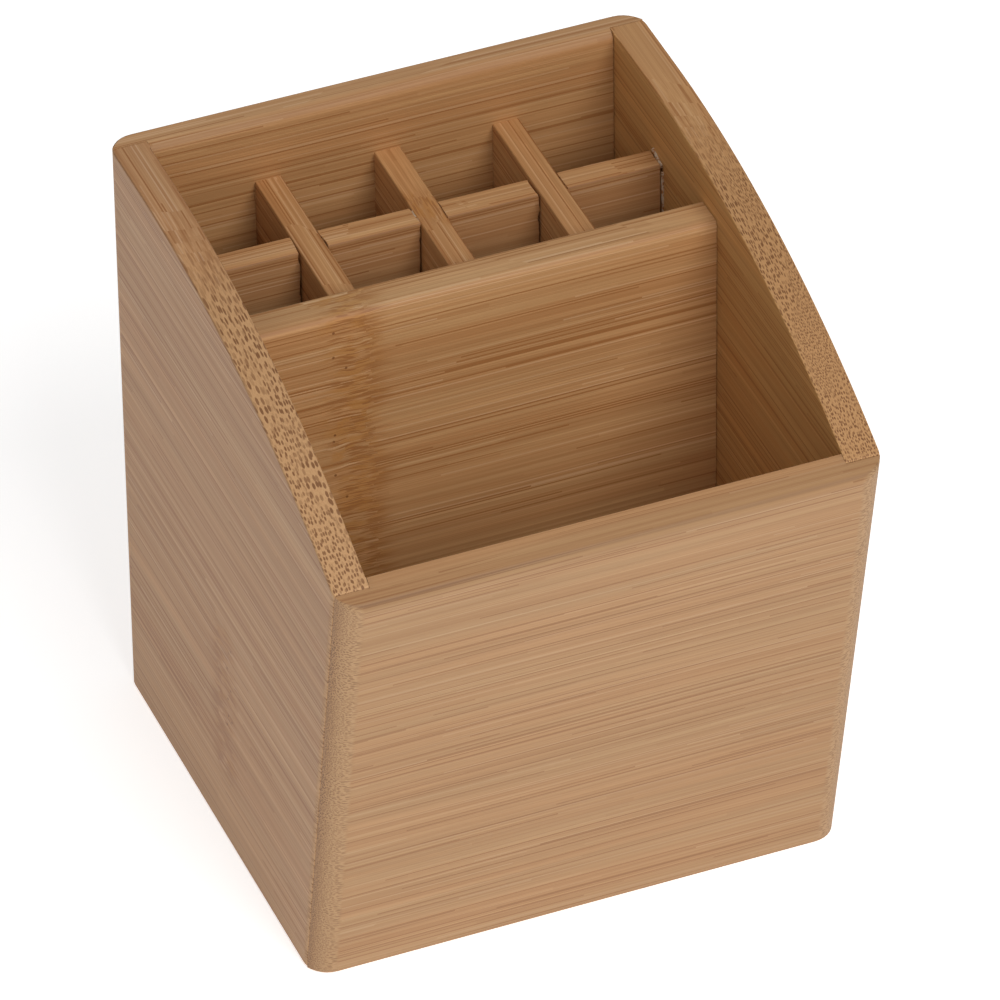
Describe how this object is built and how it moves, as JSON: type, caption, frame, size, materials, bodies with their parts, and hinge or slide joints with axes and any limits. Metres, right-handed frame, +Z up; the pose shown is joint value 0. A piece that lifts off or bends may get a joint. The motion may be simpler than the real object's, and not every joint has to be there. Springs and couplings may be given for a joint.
{
  "type": "desk organizer",
  "caption": "Open bamboo desk organizer with a leaning front, a tall front bay and an egg-crate of upright pen cells behind it.",
  "frame": {"origin": "centre of the bounding box's underside, on the desk", "axes": "+X to the object's right, +Y to its tall back, +Z up"},
  "size_m": [0.127, 0.1398, 0.1506],
  "materials": {
    "bamboo_board": "clear satin oil on sanded bamboo",
    "bamboo_thin_board": "sawn bamboo, lightly oiled"
  },
  "bodies": {
    "root": {"left_side_panel": "bamboo_board", "right_side_panel": "bamboo_board", "front_panel": "bamboo_board", "back_panel": "bamboo_board", "bottom_panel": "bamboo_board", "main_divider": "bamboo_board", "long_divider": "bamboo_thin_board", "cross_divider_left": "bamboo_thin_board", "cross_divider_middle": "bamboo_thin_board", "cross_divider_right": "bamboo_thin_board"}
  },
  "joints": []
}
